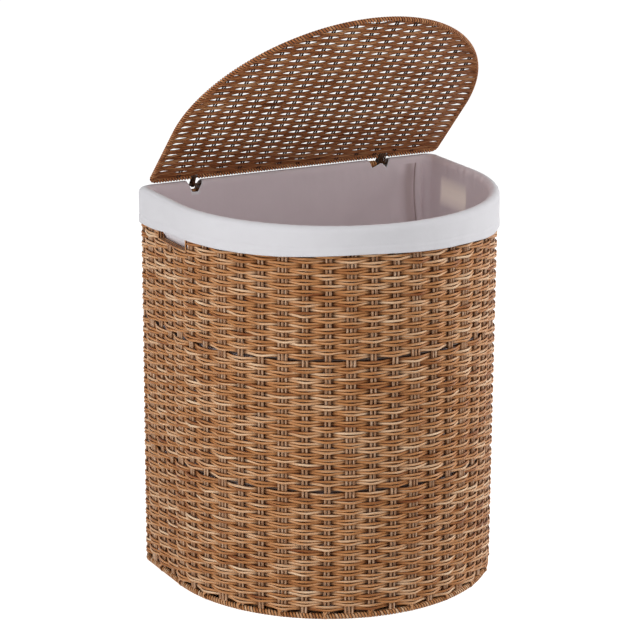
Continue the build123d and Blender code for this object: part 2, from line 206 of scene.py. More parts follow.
def cotton(name, shade_dark, shade_light, behind):
    """Plain-woven cotton canvas, washed: matt, with a thread grid and slow creases, on the cloth's own map.
    Its threads are drawn 1.1 mm wide, because the real 0.5 mm ones are too fine to show.
    Painted shade with a trace of brown reflected light covers the inside of the bag as a pink-brown tint.
    Painted light, warmer and lighter and glowing a little, lies on the stretch of cloth that a hand hole
    lights. Painted shade darkens it in a crease."""
    material, tree = new_material(name)
    cut = add(tree, "ShaderNodeUVMap", uv_map="cut")
    warp = add(tree, "ShaderNodeTexWave",
        {"Vector": cut, "Scale": 145.0, "Distortion": 0.6, "Detail Scale": 40.0}, wave_type="BANDS",
        bands_direction="X")
    weft = add(tree, "ShaderNodeTexWave",
        {"Vector": cut, "Scale": 145.0, "Distortion": 0.6, "Detail Scale": 40.0}, wave_type="BANDS",
        bands_direction="Y")
    grid = add(tree, "ShaderNodeMath", {0: (warp, "Fac"), 1: (weft, "Fac")}, operation="MULTIPLY")
    crease = add(tree, "ShaderNodeTexNoise",
        {"Vector": cut, "Scale": 42.0, "Detail": 4.0, "Roughness": 0.55})
    slub = add(tree, "ShaderNodeTexNoise", {"Vector": cut, "Scale": 9.0, "Detail": 2.0})
    mottle = add(tree, "ShaderNodeMath", {0: (crease, "Fac"), 1: (slub, "Fac")}, operation="ADD")
    halved = add(tree, "ShaderNodeMath", {0: mottle, 1: 0.5}, operation="MULTIPLY")
    white = add(tree, "ShaderNodeMix", {0: halved, 6: linear(shade_dark), 7: linear(shade_light)},
        data_type="RGBA")
    # painted shade and brown reflected light: the inside of the bag is multiplied by the pink-brown tint
    painted_inside_shade = add(tree, "ShaderNodeAttribute", attribute_name="painted_inside_shade")
    colour = add(tree, "ShaderNodeMix", {0: (painted_inside_shade, "Fac"), 6: (white, 2), 7: linear(behind)},
        data_type="RGBA", blend_type="MULTIPLY")
    # painted light: lit makes the colour warmer and lighter and adds a glow where a hand hole's light is
    # painted
    lit = add(tree, "ShaderNodeAttribute", attribute_name="lit")
    warmed = add(tree, "ShaderNodeMix", {0: (lit, "Fac"), 6: (colour, 2), 7: linear("#FAEDDE")},
        data_type="RGBA")
    black = (0.0, 0.0, 0.0, 1.0)
    glow = add(tree, "ShaderNodeMix", {0: (lit, "Fac"), 6: black, 7: linear("#FFEFE9")}, data_type="RGBA")
    # painted shade: darker where the crease attribute marks a seam or fold
    crease_shade = add(tree, "ShaderNodeAttribute", attribute_name="crease")
    shaded = add(tree, "ShaderNodeMix", {0: (crease_shade, "Fac"), 6: (warmed, 2), 7: linear("#A58C80")},
        data_type="RGBA", blend_type="MULTIPLY")
    fine = add(tree, "ShaderNodeBump", {"Strength": 0.10, "Distance": 0.25 * mm, "Height": grid})
    soft = add(tree, "ShaderNodeBump",
        {"Strength": 0.30, "Distance": 1.2 * mm, "Height": (crease, "Fac"), "Normal": fine})
    shader = add(tree, "ShaderNodeBsdfPrincipled",
        {"Base Color": (shaded, 2), "Roughness": 0.92, "Normal": soft, "Sheen Weight": 0.15,
        "Sheen Roughness": 0.5, "IOR": 1.45, "Specular IOR Level": 0.25, "Emission Color": (glow, 2),
        "Emission Strength": 0.13})
    add(tree, "ShaderNodeOutputMaterial", {"Surface": shader})
    return material


# the fourth colour of each strand is the painted shade at its edges and in its recesses
basket_strand = wicker("polyethylene_wicker_strand", "#7E4016", "#CC8E58", "#FCDCB8", "#381001", 0.42)
lid_strand = wicker("polyethylene_wicker_strand_lid", "#7C4520", "#B67040", "#E2AA78", "#260C04", 0.42)
loop_strand = wicker("polyethylene_wicker_strand_loop", "#3A2314", "#5A3A24", "#80583A", "#1C0D06", 0.42)
basket_stake = wicker_rod("polyethylene_wicker_stake", "#805030", "#BC8E68", "#EACAAC", (0.0, 0.0, 0.0))
lid_stake = wicker_rod("polyethylene_wicker_stake_lid", "#2C170C", "#452818", "#6B4530",
    (math.pi / 2 + lid_open, 0.0, 0.0))
steel = painted_steel()
# F9EBEB is the tint of the painted shade and brown reflected light inside the bag
canvas = cotton("cotton_canvas", "#E2E0E4", "#EDECF0", "#F9EBEB")


# ---------------------------------------------------------------- lines that the strands follow
def half_moon(half, straight, back, corner, lengths):
    """Points and outward directions on a half-moon, at lengths from past its right back corner forwards.
    The line goes down the right side, round the front, up the left side and along the back."""
    centre_y = back - straight
    side = straight - corner
    bow = math.pi * half
    quarter = math.pi / 2 * corner
    across = 2 * (half - corner)
    total = 2 * side + bow + 2 * quarter + across
    points = np.zeros((len(lengths), 3))
    outs = np.zeros((len(lengths), 3))
    for i, s in enumerate(np.mod(lengths, total)):
        if s < side:
            x, y, nx, ny = half, back - corner - s, 1.0, 0.0
        elif s < side + bow:
            a = -(s - side) / half
            nx, ny = math.cos(a), math.sin(a)
            x, y = half * nx, centre_y + half * ny
        elif s < 2 * side + bow:
            x, y, nx, ny = -half, centre_y + (s - side - bow), -1.0, 0.0
        elif s < 2 * side + bow + quarter:
            a = math.pi - (s - 2 * side - bow) / corner
            nx, ny = math.cos(a), math.sin(a)
            x, y = corner * nx - half + corner, back - corner + corner * ny
        elif s < 2 * side + bow + quarter + across:
            x, y, nx, ny = -half + corner + (s - 2 * side - bow - quarter), back, 0.0, 1.0
        else:
            a = math.pi / 2 - (s - 2 * side - bow - quarter - across) / corner
            nx, ny = math.cos(a), math.sin(a)
            x, y = half - corner + corner * nx, back - corner + corner * ny
        points[i] = (x, y, 0)
        outs[i] = (nx, ny, 0)
    return points, outs, total


def wall_line(inset, lengths):
    """The basket's outline, moved in from the outside of the weave."""
    return half_moon(half_width - inset, side_straight - inset, back_face - inset, corner_r - inset,
        lengths)


def strand_line(points, out, column=0.0, course=0.0, across=(0, 0, 1), closed=False):
    """One line for the trees: its points, which way is outwards and across it, and its place in the weave."""
    return {
        "points": points, "out": out, "column": column, "course": course, "across": across, "closed": closed}


def line_mesh(name, lines):
    """Edges for the trees to follow, from strand lines."""
    mesh = bpy.data.meshes.new(name)
    points, edges, start = [], [], 0
    for line in lines:
        n = len(line["points"])
        points.append(line["points"])
        edges += [(start + i, start + i + 1) for i in range(n - 1)]
        if line["closed"]:
            edges.append((start + n - 1, start))
        start += n
    mesh.from_pydata([tuple(p) for p in np.concatenate(points)], edges, [])
    for key in ("column", "course"):
        values = np.concatenate([np.broadcast_to(line[key], len(line["points"])) for line in lines])
        mesh.attributes.new(key, "FLOAT", "POINT").data.foreach_set("value", values.astype(np.float32))
    for key in ("out", "across"):
        values = np.concatenate([np.broadcast_to(line[key], (len(line["points"]), 3)) for line in lines])
        mesh.attributes.new(key, "FLOAT_VECTOR", "POINT").data.foreach_set("vector",
            values.astype(np.float32).ravel())
    return mesh


# ---------------------------------------------------------------- geometry node trees
def new_tree(name, inputs):
    """An empty tree with named inputs, and its input node."""
    tree = bpy.data.node_groups.new(name, "GeometryNodeTree")
    tree.interface.new_socket("Geometry", in_out="INPUT", socket_type="NodeSocketGeometry")
    for label, kind in inputs.items():
        tree.interface.new_socket(label, in_out="INPUT", socket_type="NodeSocket" + kind)
    tree.interface.new_socket("Geometry", in_out="OUTPUT", socket_type="NodeSocketGeometry")
    return tree, tree.nodes.new("NodeGroupInput")


def add_tube(tree, given, curve, number, along, scale=1.0, open_by=1.0):
    """Turns the curves into oval strands that carry their lay and the direction round their section."""
    # lay's z is open_by: 1 where the strand shows its own colour, less where painted shade darkens it
    lay = add(tree, "ShaderNodeCombineXYZ", {"X": along, "Y": number, "Z": open_by})
    laid = add(tree, "GeometryNodeStoreNamedAttribute", {"Geometry": curve, "Name": "lay", "Value": lay},
        data_type="FLOAT_VECTOR", domain="POINT")
    ring = add(tree, "GeometryNodeCurvePrimitiveCircle", {"Resolution": (given, "Sides"), "Radius": 1.0})
    spot = add(tree, "GeometryNodeInputPosition")
    ring_named = add(tree, "GeometryNodeStoreNamedAttribute",
        {"Geometry": ring, "Name": "round", "Value": spot}, data_type="FLOAT_VECTOR", domain="POINT")
    half_thick = add(tree, "ShaderNodeMath", {0: (given, "Thickness"), 1: 0.5}, operation="MULTIPLY")
    half_wide = add(tree, "ShaderNodeMath", {0: (given, "Width"), 1: 0.5}, operation="MULTIPLY")
    size = add(tree, "ShaderNodeCombineXYZ", {"X": half_thick, "Y": half_wide, "Z": 1.0})
    oval = add(tree, "GeometryNodeTransform", {"Geometry": ring_named, "Scale": size})
    tube = add(tree, "GeometryNodeCurveToMesh",
        {"Curve": laid, "Profile Curve": oval, "Scale": scale, "Fill Caps": True})
    smooth = add(tree, "GeometryNodeSetShadeSmooth", {"Geometry": tube})
    real = add(tree, "GeometryNodeRealizeInstances", {"Geometry": smooth})
    finished = add(tree, "GeometryNodeSetMaterial", {"Geometry": real, "Material": (given, "Finish")})
    out = tree.nodes.new("NodeGroupOutput")
    tree.links.new(finished.outputs[0], out.inputs[0])


def woven_tree():
    """Pairs of strands that pass in front of one stake column and behind the next."""
    tree, given = new_tree("woven_courses", {
        "Courses": "Int", "Course pitch": "Float", "Swing": "Float", "Front spread": "Float",
        "Back spread": "Float", "Back swell": "Float", "Painted recess shade": "Float", "Unevenness": "Float",
        "Flatness": "Float",
        "Width": "Float", "Thickness": "Float", "Sides": "Int", "Seed": "Float", "Finish": "Material"})
    curve = add(tree, "GeometryNodeMeshToCurve", {"Mesh": (given, "Geometry")})
    strands = add(tree, "ShaderNodeMath", {0: (given, "Courses"), 1: 2.0}, operation="MULTIPLY")
    copied = add(tree, "GeometryNodeDuplicateElements", {"Geometry": curve, "Amount": strands},
        domain="SPLINE")
    halved = add(tree, "ShaderNodeMath", {0: (copied, "Duplicate Index"), 1: 0.5}, operation="MULTIPLY")
    level = add(tree, "ShaderNodeMath", {0: halved}, operation="FLOOR")
    upper = add(tree, "ShaderNodeMath", {0: halved, 1: level}, operation="SUBTRACT")
    member = add(tree, "ShaderNodeMath", {0: upper, 1: 2.0, 2: -0.5}, operation="MULTIPLY_ADD")
    course = add(tree, "GeometryNodeInputNamedAttribute", {"Name": "course"}, data_type="FLOAT")
    column = add(tree, "GeometryNodeInputNamedAttribute", {"Name": "column"}, data_type="FLOAT")
    outward = add(tree, "GeometryNodeInputNamedAttribute", {"Name": "out"}, data_type="FLOAT_VECTOR")
    across = add(tree, "GeometryNodeInputNamedAttribute", {"Name": "across"}, data_type="FLOAT_VECTOR")
    number = add(tree, "ShaderNodeMath", {0: level, 1: (course, "Attribute")}, operation="ADD")
    phase = add(tree, "ShaderNodeMath", {0: (column, "Attribute"), 1: number}, operation="ADD")
    turn = add(tree, "ShaderNodeMath", {0: phase, 1: math.pi}, operation="MULTIPLY")
    wave = add(tree, "ShaderNodeMath", {0: turn}, operation="COSINE")
    square = add(tree, "ShaderNodeMath", {0: wave, 1: wave}, operation="MULTIPLY")
    # a strand lies flat over the stakes and runs nearly straight from one column to the next
    centred = add(tree, "ShaderNodeMath", {0: phase, 1: 1.0}, operation="PINGPONG")
    tri = add(tree, "ShaderNodeMath", {0: centred, 1: -2.0, 2: 1.0}, operation="MULTIPLY_ADD")
    steep = add(tree, "ShaderNodeMath", {0: tri, 1: (given, "Flatness")}, operation="MULTIPLY")
    flat_top = add(tree, "ShaderNodeClamp", {"Value": steep, "Min": -1.0, "Max": 1.0})
    bend = add(tree, "ShaderNodeMix", {0: 0.35, 2: flat_top, 3: wave}, data_type="FLOAT")
    # every strand drifts a little, and its neighbours drift with it
    base = add(tree, "GeometryNodeInputPosition")
    lift = add(tree, "ShaderNodeMath", {0: level, 1: (given, "Course pitch")}, operation="MULTIPLY")
    lifted = add(tree, "ShaderNodeVectorMath", {0: (across, "Attribute"), "Scale": lift}, operation="SCALE")
    place = add(tree, "ShaderNodeVectorMath", {0: base, 1: lifted}, operation="ADD")
    drift = add(tree, "ShaderNodeTexNoise",
        {"Vector": place, "W": (given, "Seed"), "Scale": 34.0, "Detail": 1.5}, noise_dimensions="4D")
    strand_number = add(tree, "ShaderNodeMath", {0: number, 1: 2.0, 2: member}, operation="MULTIPLY_ADD")
    own = add(tree, "ShaderNodeMath", {0: strand_number, 1: 5.37, 2: (given, "Seed")},
        operation="MULTIPLY_ADD")
    shake = add(tree, "ShaderNodeTexNoise", {"Vector": place, "W": own, "Scale": 60.0, "Detail": 0.0},
        noise_dimensions="4D")
    wander = add(tree, "ShaderNodeTexNoise",
        {"Vector": place, "W": (given, "Seed"), "Scale": 6.0, "Detail": 0.0}, noise_dimensions="4D")
    drift_centred = add(tree, "ShaderNodeMath", {0: (drift, "Fac"), 1: 0.5}, operation="SUBTRACT")
    wander_centred = add(tree, "ShaderNodeMath", {0: (wander, "Fac"), 1: 0.5}, operation="SUBTRACT")
    shake_centred = add(tree, "ShaderNodeMath", {0: (shake, "Fac"), 1: 0.5}, operation="SUBTRACT")
    shake_small = add(tree, "ShaderNodeMath", {0: shake_centred, 1: 0.45}, operation="MULTIPLY")
    wander_more = add(tree, "ShaderNodeMath", {0: wander_centred, 1: 2.6, 2: shake_small},
        operation="MULTIPLY_ADD")
    drifted = add(tree, "ShaderNodeMath", {0: drift_centred, 1: wander_more}, operation="ADD")
    sway = add(tree, "ShaderNodeMath", {0: drifted, 1: (given, "Unevenness")}, operation="MULTIPLY")
    # the pair opens where it lies over a stake
    in_front = add(tree, "ShaderNodeMath", {0: wave, 1: 0.0}, operation="GREATER_THAN")
    open_by = add(tree, "ShaderNodeMix",
        {0: in_front, 2: (given, "Back spread"), 3: (given, "Front spread")}, data_type="FLOAT")
    half_pitch = add(tree, "ShaderNodeMath", {0: (given, "Course pitch"), 1: 0.5}, operation="MULTIPLY")
    gap = add(tree, "ShaderNodeMath", {0: open_by, 1: square, 2: half_pitch}, operation="MULTIPLY_ADD")
    apart = add(tree, "ShaderNodeMath", {0: member, 1: gap, 2: sway}, operation="MULTIPLY_ADD")
    height = add(tree, "ShaderNodeMath", {0: apart, 1: lift}, operation="ADD")
    rise = add(tree, "ShaderNodeVectorMath", {0: (across, "Attribute"), "Scale": height}, operation="SCALE")
    reach = add(tree, "ShaderNodeMath", {0: bend, 1: (given, "Swing")}, operation="MULTIPLY")
    push = add(tree, "ShaderNodeVectorMath", {0: (outward, "Attribute"), "Scale": reach}, operation="SCALE")
    offset = add(tree, "ShaderNodeVectorMath", {0: rise, 1: push}, operation="ADD")
    far = add(tree, "GeometryNodeSplineParameter")
    kept = add(tree, "GeometryNodeCaptureAttribute", {"Geometry": copied})
    kept.capture_items.new("FLOAT", "Length")
    kept.capture_items.new("FLOAT", "Number")
    tree.links.new(far.outputs["Length"], kept.inputs["Length"])
    tree.links.new(strand_number.outputs[0], kept.inputs["Number"])
    moved = add(tree, "GeometryNodeSetPosition", {"Geometry": kept, "Offset": offset})
    upright = add(tree, "GeometryNodeSetCurveNormal", {"Curve": moved}, mode="FREE")
    tree.links.new(outward.outputs["Attribute"], upright.inputs["Normal"])
    behind = add(tree, "ShaderNodeMath", {0: bend, 1: -1.0}, operation="MULTIPLY")
    behind_only = add(tree, "ShaderNodeMath", {0: behind, 1: 0.0}, operation="MAXIMUM")
    swollen = add(tree, "ShaderNodeMath", {0: behind_only, 1: (given, "Back swell"), 2: 1.0},
        operation="MULTIPLY_ADD")
    # painted shade: the strand's colour darkens where it dives behind a stake
    deep = add(tree, "ShaderNodeMapRange",
        {"Value": bend, "From Min": -1.0, "From Max": -0.35, "To Min": 1.0, "To Max": 0.0},
        interpolation_type="SMOOTHSTEP")
    recess_shade = add(tree, "ShaderNodeMath", {0: (deep, "Result"), 1: (given, "Painted recess shade")}, operation="MULTIPLY")
    unshaded = add(tree, "ShaderNodeMath", {0: 1.0, 1: recess_shade}, operation="SUBTRACT")
    open_kept = add(tree, "GeometryNodeCaptureAttribute", {"Geometry": upright})
    open_kept.capture_items.new("FLOAT", "Open")
    open_kept.capture_items.new("FLOAT", "Swell")
    tree.links.new(unshaded.outputs[0], open_kept.inputs["Open"])
    tree.links.new(swollen.outputs[0], open_kept.inputs["Swell"])
    add_tube(tree, given, open_kept, (kept, "Number"), (kept, "Length"), (open_kept, "Swell"),
        (open_kept, "Open"))
    return tree


def laid_tree():
    """One strand along each line."""
    tree, given = new_tree("laid_strand",
        {"Width": "Float", "Thickness": "Float", "Sides": "Int", "Finish": "Material"})
    curve = add(tree, "GeometryNodeMeshToCurve", {"Mesh": (given, "Geometry")})
    outward = add(tree, "GeometryNodeInputNamedAttribute", {"Name": "out"}, data_type="FLOAT_VECTOR")
    start = add(tree, "GeometryNodeInputNamedAttribute", {"Name": "column"}, data_type="FLOAT")
    far = add(tree, "GeometryNodeSplineParameter")
    turned_out = add(tree, "GeometryNodeSetCurveNormal", {"Curve": curve}, mode="FREE")
    tree.links.new(outward.outputs["Attribute"], turned_out.inputs["Normal"])
    add_tube(tree, given, turned_out, (start, "Attribute"), (far, "Length"))
    return tree


def settle(name, tree, mesh, values):
    """Runs a tree on a line mesh and keeps its result as one plain mesh piece."""
    holder = bpy.data.objects.new(name + "_line", mesh)
    scene.collection.objects.link(holder)
    modifier = holder.modifiers.new("tree", "NODES")
    modifier.node_group = tree
    for item in tree.interface.items_tree:
        if item.in_out == "INPUT" and item.name in values:
            modifier[item.identifier] = values[item.name]
    bpy.context.view_layer.update()
    graph = bpy.context.evaluated_depsgraph_get()
    result = bpy.data.meshes.new_from_object(holder.evaluated_get(graph), preserve_all_data_layers=True,
        depsgraph=graph)
    result.name = name
    bpy.data.objects.remove(holder)
    bpy.data.meshes.remove(mesh)
    piece = bpy.data.objects.new(name, result)
    scene.collection.objects.link(piece)
    return piece


def coil_tree():
    """A strand wound round a wire: it circles the line once in every lead."""
    tree, given = new_tree("wound_coil", {
        "Radius": "Float", "Lead": "Float", "Steps": "Int", "Length": "Float",
        "Width": "Float", "Thickness": "Float", "Sides": "Int", "Finish": "Material"})
    curve = add(tree, "GeometryNodeMeshToCurve", {"Mesh": (given, "Geometry")})
    turns = add(tree, "ShaderNodeMath", {0: (given, "Length"), 1: (given, "Lead")}, operation="DIVIDE")
    count = add(tree, "ShaderNodeMath", {0: turns, 1: (given, "Steps")}, operation="MULTIPLY")
    fine = add(tree, "GeometryNodeResampleCurve", {"Curve": curve, "Count": count})
    far = add(tree, "GeometryNodeSplineParameter")
    kept = add(tree, "GeometryNodeCaptureAttribute", {"Geometry": fine})
    kept.capture_items.new("FLOAT", "Length")
    tree.links.new(far.outputs["Length"], kept.inputs["Length"])
    outward = add(tree, "GeometryNodeInputNamedAttribute", {"Name": "out"}, data_type="FLOAT_VECTOR")
    across = add(tree, "GeometryNodeInputNamedAttribute", {"Name": "across"}, data_type="FLOAT_VECTOR")
    start = add(tree, "GeometryNodeInputNamedAttribute", {"Name": "column"}, data_type="FLOAT")
    run = add(tree, "ShaderNodeMath", {0: (kept, "Length"), 1: (given, "Lead")}, operation="DIVIDE")
    turned = add(tree, "ShaderNodeMath", {0: run, 1: (start, "Attribute")}, operation="ADD")
    angle = add(tree, "ShaderNodeMath", {0: turned, 1: 2 * math.pi}, operation="MULTIPLY")
    cosine = add(tree, "ShaderNodeMath", {0: angle}, operation="COSINE")
    sine = add(tree, "ShaderNodeMath", {0: angle}, operation="SINE")
    one = add(tree, "ShaderNodeVectorMath", {0: (outward, "Attribute"), "Scale": cosine}, operation="SCALE")
    two = add(tree, "ShaderNodeVectorMath", {0: (across, "Attribute"), "Scale": sine}, operation="SCALE")
    spoke = add(tree, "ShaderNodeVectorMath", {0: one, 1: two}, operation="ADD")
    offset = add(tree, "ShaderNodeVectorMath", {0: spoke, "Scale": (given, "Radius")}, operation="SCALE")
    moved = add(tree, "GeometryNodeSetPosition", {"Geometry": kept, "Offset": offset})
    turned_out = add(tree, "GeometryNodeSetCurveNormal", {"Curve": moved}, mode="FREE")
    tree.links.new(spoke.outputs[0], turned_out.inputs["Normal"])
    number = add(tree, "ShaderNodeMath", {0: (start, "Attribute"), 1: 3.0}, operation="MULTIPLY")
    # the strand runs two to seven times as far as the line it circles, and 5 serves for every coil
    along = add(tree, "ShaderNodeMath", {0: (kept, "Length"), 1: 5.0}, operation="MULTIPLY")
    add_tube(tree, given, turned_out, number, along)
    return tree


woven = woven_tree()
wound = coil_tree()
laid = laid_tree()


def finish_piece(piece, body, nodes):
    """Hides the CAD nodes that the piece shows and sets which body it rides."""
    if nodes:
        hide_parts(*nodes)
    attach(piece, body)
    return piece


# ---------------------------------------------------------------- woven wall of the basket
loop_total = wall_line(wall_mid, [0.0])[2]
stake_pitch = loop_total / columns
hole_columns = {"right": (0.22, 2.78), "left": (26.08, 28.86)}
hole_low, hole_high = (corner.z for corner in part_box("handle_edge_right"))
# the heights in millimetres that the courses of each zone fill, and how many courses there are
zones = {
    "weave_lower": (12.0, 185.2, 23),
    "weave_middle": (188.8, 372.0, 24),
    "weave_upper": (376.0, 547.8, 23)}


def wall_run(first_column, last_column, closed=False):
    """A level line along the stakes between two columns."""
    count = round((last_column - first_column) * steps_per_column) + (0 if closed else 1)
    at = np.linspace(first_column, last_column, count, endpoint=not closed)
    points, outs, _ = wall_line(wall_mid, at * loop_total / columns)
    return strand_line(points, outs, at, closed=closed)


def wall_courses(name, height, pitch, count, first_course, nodes, runs):
    """Courses stacked from one height up, along each run. A course is two strands lying together."""
    lines = [dict(run, points=run["points"] + [0, 0, height], course=float(first_course)) for run in runs]
    # Recess sets how dark the painted shade is where a strand dives behind a stake
    piece = settle(name, woven, line_mesh(name, lines), {
        "Courses": count, "Course pitch": pitch, "Swing": swing, "Front spread": 1.3 * mm,
        "Back spread": 0.5 * mm, "Back swell": 0.3, "Painted recess shade": 0.85, "Flatness": 1.38, "Unevenness": 2.2 * mm,
        "Width": strand_width, "Thickness": strand_thickness, "Sides": 8, "Seed": 1.0,
        "Finish": basket_strand})
    return finish_piece(piece, "basket", nodes)


whole_loop = [wall_run(0.0, float(columns), True)]
split_loop = [
    wall_run(hole_columns["right"][1], hole_columns["left"][0]),
    wall_run(hole_columns["left"][1], columns + hole_columns["right"][0])]
course_number = 1
for zone, (low, high, count) in zones.items():
    pitch = (high - low) / count * mm
    first = low * mm + pitch / 2
    groups = [(count // 2, whole_loop), (count - count // 2, whole_loop)]
    if zone == "weave_upper":
        below = sum(first + i * pitch + pitch / 2 < hole_low for i in range(count))
        above = sum(first + i * pitch - pitch / 2 > hole_high for i in range(count))
        groups = [(below // 2, whole_loop), (below - below // 2, whole_loop)]
        groups += [(count - below - above, split_loop), (above, whole_loop)]
    for letter, (group_count, runs) in zip("abcd", groups):
        shown = [zone] if letter == "a" else []
        wall_courses(f"{zone}_strands_{letter}", first, pitch, group_count, course_number, shown, runs)
        first += group_count * pitch
        course_number += group_count

# ---------------------------------------------------------------- coils on the hoops
loop_boxes = [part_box("hinge_loop_left"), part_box("hinge_loop_right")]
loop_x = [(low.x + high.x) / 2 for low, high in loop_boxes]
left_x, right_x = loop_x


def coil(name, lines, values, body, finish, nodes):
    """One piece from a coil on each line. The lines have even steps and carry their own length."""
    pieces = []
    for i, line in enumerate(lines):
        points = line["points"]
        ends = np.concatenate([points, points[:1]]) if line["closed"] else points
        length = float(np.linalg.norm(np.diff(ends, axis=0), axis=1).sum())
        turns = max(round(length / values["Lead"]), 1)
        given = dict(values, Length=length, Lead=length / turns, Finish=finish)
        pieces.append(settle(f"{name}_{i}", wound, line_mesh(name, [line]), given))
    return finish_piece(join(name, pieces), body, nodes)


def join(name, pieces):
    """Joins mesh objects into the first one."""
    if len(pieces) > 1:
        chosen = {"selected_editable_objects": pieces, "selected_objects": pieces}
        with bpy.context.temp_override(active_object=pieces[0], **chosen):
            bpy.ops.object.join()
    pieces[0].name = name
    pieces[0].data.name = name
    return pieces[0]


def hoop_line(inset, height, start, end, closed=False, phase=0.0):
    """A level line round the wall between two lengths along it."""
    count = max(int((end - start) / path_step), 4)
    at = np.linspace(start, end, count, endpoint=not closed)
    points, outs, _ = wall_line(inset, at)
    return strand_line(points + [0, 0, height], outs, phase, closed=closed)


def middle_height(node):
    """The height of the middle of a CAD node's box."""
    low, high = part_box(node)
    return (low.z + high.z) / 2


rim_z = middle_height("rim_binding")
base_z = middle_height("base_binding")
back_start = loop_total - math.pi / 2 * (corner_r - wall_mid) - 2 * (half_width - corner_r)


def back_length(x):
    """Length along the wall's middle line where the back reaches x."""
    return back_start + x + half_width - corner_r


# the rim is left bare at each hinge loop, this far before and after its middle
left_bare, right_bare = (20 * mm, 10 * mm), (7.5 * mm, 16 * mm)
left_at, right_at = back_length(left_x), back_length(right_x)
coil(
    "rim_coil",
    [hoop_line(wall_mid, rim_z, left_at + left_bare[1], right_at - right_bare[0]),
     hoop_line(wall_mid, rim_z, right_at + right_bare[1] - loop_total, left_at - left_bare[0])],
    {"Radius": 4.3 * mm, "Lead": 3.7 * mm, "Steps": 10, "Width": 3.6 * mm, "Thickness": 2.5 * mm, "Sides": 6},
    "basket", basket_strand, ["rim_binding"])
coil(
    "base_coil",
    [hoop_line(wall_mid, base_z, 0.0, loop_total, True, phase) for phase in (0.0, 0.5)],
    {"Radius": 3.4 * mm, "Lead": 9.0 * mm, "Steps": 12, "Width": 3.9 * mm, "Thickness": 1.8 * mm, "Sides": 6},
    "basket", basket_strand, ["base_binding"])

# ---------------------------------------------------------------- woven lid
lid_straight_mid = lid_straight - lid_rim_r
lid_round = lid_half - lid_rim_r
lid_strand_t = 2.15 * mm
lid_strand_w = 3.3 * mm
lid_wrap_r = lid_rim_r - lid_strand_t / 2
lid_courses = 50
lid_end_steps = 6                   # points from where a course leaves its line to the rim
lid_wrap_steps = 9                  # points round the rim wire, 32 degrees apart
lid_first = 6.3 * mm
lid_loop_x = [x - pivot.x for x in loop_x]


def rim_reach(v):
    """Half width of the lid's rim wire at a distance from the hinge."""
    if v < lid_straight_mid:
        return lid_round
    return math.sqrt(max(lid_round**2 - (v - lid_straight_mid) ** 2, 0))


def lid_end(v, side):
    """The end of a course: it turns to meet the rim squarely and goes round its wire from below."""
    reach = rim_reach(v)
    steep = max(reach / lid_round, 0.1) if v > lid_straight_mid else 1.0
    # it leaves its line 12 to 46 mm before the rim, earliest where the rim slants most
    back = min(max(9 * mm / steep, 12 * mm), 46 * mm)
    start = Vector((reach - back, v, 0))
    knee = Vector((reach - 0.45 * back, v, 0))
    if v > lid_straight_mid:
        radial = Vector((knee.x, knee.y - lid_straight_mid, 0)).normalized()
        foot = Vector((0, lid_straight_mid, 0)) + radial * lid_round
    else:
        radial = Vector((1, 0, 0))
        foot = Vector((lid_round, v, 0))
    points, across, fade = [], [], []
    for i in range(lid_end_steps):
        t = i / lid_end_steps
        p = start * (1 - t) ** 2 + knee * 2 * t * (1 - t) + (foot - radial * 1.0 * mm) * t * t
        d = ((knee - start) * (1 - t) + (foot - knee) * t).normalized()
        p.z = -lid_wrap_r * t * t
        points.append(p)
        across.append(Vector((-d.y, d.x, 0)))
        fade.append((1 - t) * 0.8)
    for i in range(lid_wrap_steps):
        angle = math.radians(105 - i * 32)
        down = Vector((0, 0, -lid_wrap_r * math.sin(angle)))
        points.append(foot + radial * lid_wrap_r * math.cos(angle) + down)
        across.append(Vector((-radial.y, radial.x, 0)))
        fade.append(0.0)
    points = np.array([[side * p.x, -p.y, p.z] for p in points])
    across = np.array([[side * a.x, -a.y, 0] for a in across])
    return points, across, np.array(fade), start.x


# how far the strands swing, as a share of the full swing, against the distance from the hinge
openness_at = [7 * mm, 14 * mm, 22 * mm, 60 * mm, 120 * mm]
openness_there = [0.15, 0.3, 0.55, 0.78, 0.92]


def lid_lines():
    """The lid's courses, level, with the hinge wire at the origin. They swing less near the hinge."""
    lines = []
    for number in range(lid_courses):
        v = lid_first + number * lid_course_pitch
        openness = np.interp(v, openness_at, openness_there)
        right, right_across, right_fade, stop = lid_end(v, 1)
        left, left_across, left_fade, _ = lid_end(v, -1)
        count = max(int(2 * stop / (lid_column_pitch / 8)), 6)
        x = np.linspace(-stop, stop, count + 1)[1:-1]
        middle = np.stack([x, np.full_like(x, -v), np.zeros_like(x)], axis=1)
        points = np.concatenate([left[::-1], middle, right])
        straight_across = np.tile([[0.0, -1.0, 0.0]], (len(x), 1))
        across = np.concatenate([left_across[::-1], straight_across, right_across])
        inner_fade = np.interp(rim_reach(v) - np.abs(x), [12 * mm, 34 * mm], [0.55, 1.0])
        fade = np.concatenate([left_fade[::-1], inner_fade, right_fade])
        out = np.zeros_like(points)
        out[:, 2] = fade * openness
        column = points[:, 0] / lid_column_pitch
        # the hinge loops push the first courses away from the wire
        for x_loop in lid_loop_x:
            pushed = np.exp(-(((points[:, 0] - x_loop) / (13 * mm)) ** 4))
            points[:, 1] -= 3.2 * mm * math.exp(-(v - lid_first) / (9 * mm)) * pushed
        lines.append(strand_line(points, out, column, float(number), across))
    return lines


def to_lid_place(piece):
    """Turns a piece made level about the hinge wire to the modelled pose."""
    piece.data.transform(lid_to_world)
    return piece


